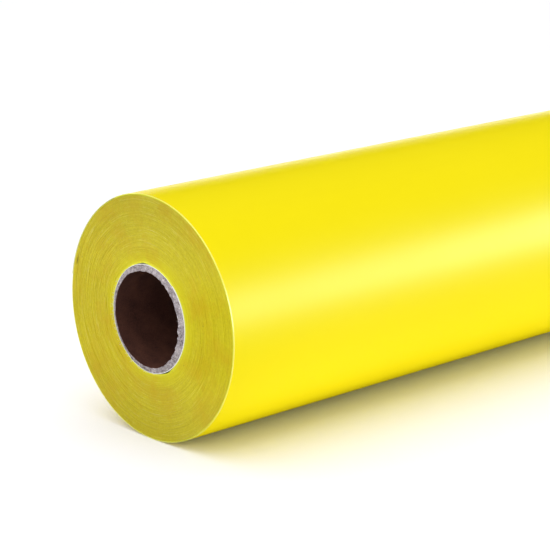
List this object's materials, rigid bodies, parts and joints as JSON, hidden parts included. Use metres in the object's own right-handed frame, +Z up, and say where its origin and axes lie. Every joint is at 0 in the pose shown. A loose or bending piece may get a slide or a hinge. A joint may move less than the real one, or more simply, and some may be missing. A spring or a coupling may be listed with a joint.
{
  "type": "roll of sign vinyl",
  "caption": "Roll of self-adhesive vinyl film on its release liner, wound on a paperboard core, with a tail that lifts and a film end that peels.",
  "frame": {"origin": "on the surface the roll lies on, under its middle", "axes": "+X along the roll's axis, away from the end that faces left; +Y towards the back, where the loose end of the web is; +Z up"},
  "size_m": [0.6136, 0.1307, 0.1308],
  "materials": {
    "vinyl_film": "semi-gloss yellow calendered vinyl",
    "wound_web": "wound film and liner seen on edge",
    "liner_paper": "white silicone-coated release paper",
    "core_board": "grey recycled core board",
    "cover_paper": "smooth white cover ply",
    "kraft_paper": "dark brown kraft ply",
    "tape": "double-sided starting tape",
    "tab_paper": "crepe paper closing tab"
  },
  "bodies": {
    "roll": {"core_bore_ply": "kraft_paper", "core_board_ply_1": "core_board", "core_board_ply_2": "core_board", "core_board_ply_3": "core_board", "core_board_ply_4": "core_board", "core_board_ply_5": "core_board", "core_cover_ply": "cover_paper", "start_tape": "tape", "wound_web": "wound_web", "outer_turn_liner": "liner_paper", "outer_turn_film": "vinyl_film"},
    "tail": {"tail_liner": "liner_paper", "tail_film": "vinyl_film"},
    "film_end": {"film_end": "vinyl_film", "closure_tab_near": "tab_paper", "closure_tab_far": "tab_paper"}
  },
  "joints": [
    {"name": "tail_lift", "type": "hinge", "parent": "roll", "child": "tail", "pos_m": [0, 0.03278, 0.12198], "axis": [1, 0, 0], "range_deg": [0, 80]},
    {"name": "film_peel", "type": "hinge", "parent": "tail", "child": "film_end", "pos_m": [0, 0.05663, 0.09827], "axis": [1, 0, 0], "range_deg": [0, 150]}
  ]
}
